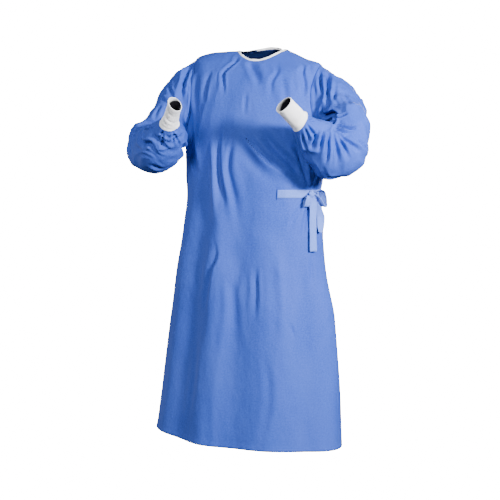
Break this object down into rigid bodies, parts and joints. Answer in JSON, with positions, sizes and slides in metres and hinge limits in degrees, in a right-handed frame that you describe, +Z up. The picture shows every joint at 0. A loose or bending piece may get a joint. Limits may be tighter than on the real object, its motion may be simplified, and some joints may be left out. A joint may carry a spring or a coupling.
{
  "type": "surgical gown",
  "caption": "Loose, long-sleeved wrap-back surgical gown with rib-knit cuffs and a waist tie knotted in a bow, filled out as if worn, with both arms bent up.",
  "frame": {"origin": "middle of the neck opening, at the height where the gown rests on the wearer's shoulders beside the neck", "axes": "+Z up towards the neck, -Y out of the chest, +X to the wearer's left"},
  "size_m": [0.7384, 0.4293, 1.1921],
  "materials": {
    "gown_nonwoven": "soft sheen, finely embossed",
    "cuff_knit": "matte rib knit",
    "neck_trim": "matte woven tape",
    "waist_tie": "soft sheen, folded nonwoven"
  },
  "bodies": {
    "root": {"front": "gown_nonwoven", "back_left": "gown_nonwoven", "back_right": "gown_nonwoven", "sleeve_left": "gown_nonwoven", "sleeve_right": "gown_nonwoven", "cuff_left": "cuff_knit", "cuff_right": "cuff_knit", "neck_binding": "neck_trim", "neck_fastener": "neck_trim", "belt_front": "waist_tie", "belt_side": "waist_tie", "knot": "waist_tie", "bow_loop_right": "waist_tie", "bow_loop_left": "waist_tie", "tail_front": "waist_tie", "tail_side": "waist_tie"}
  },
  "joints": []
}
